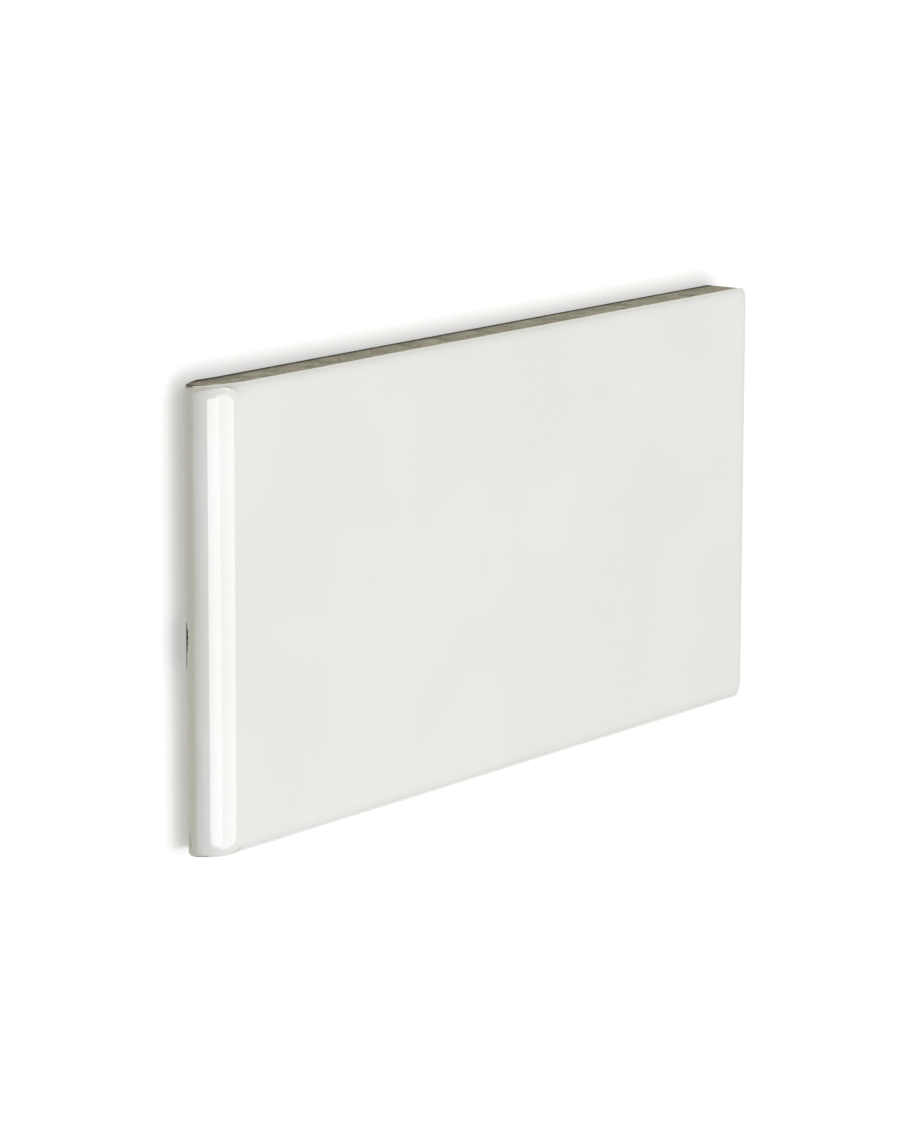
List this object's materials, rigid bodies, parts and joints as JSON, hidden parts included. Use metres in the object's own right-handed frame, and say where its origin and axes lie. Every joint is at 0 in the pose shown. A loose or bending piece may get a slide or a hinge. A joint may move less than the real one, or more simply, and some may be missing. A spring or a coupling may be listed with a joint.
{
  "type": "bullnose wall tile",
  "caption": "Glazed rectangular ceramic wall tile with one short edge rounded into a bullnose and a ribbed key grid on its back.",
  "frame": {"origin": "middle of the tile's outline, in the plane of its back", "axes": "+X along the tile from the rounded short edge at -X to the square end, +Y across it, +Z out of the glazed face"},
  "size_m": [0.15, 0.075, 0.009],
  "materials": {
    "glazed_ceramic": "gloss off-white glaze on the face and the nose, bare grey-beige fired body on the sides and the back"
  },
  "bodies": {
    "root": {"tile": "glazed_ceramic"}
  },
  "joints": []
}
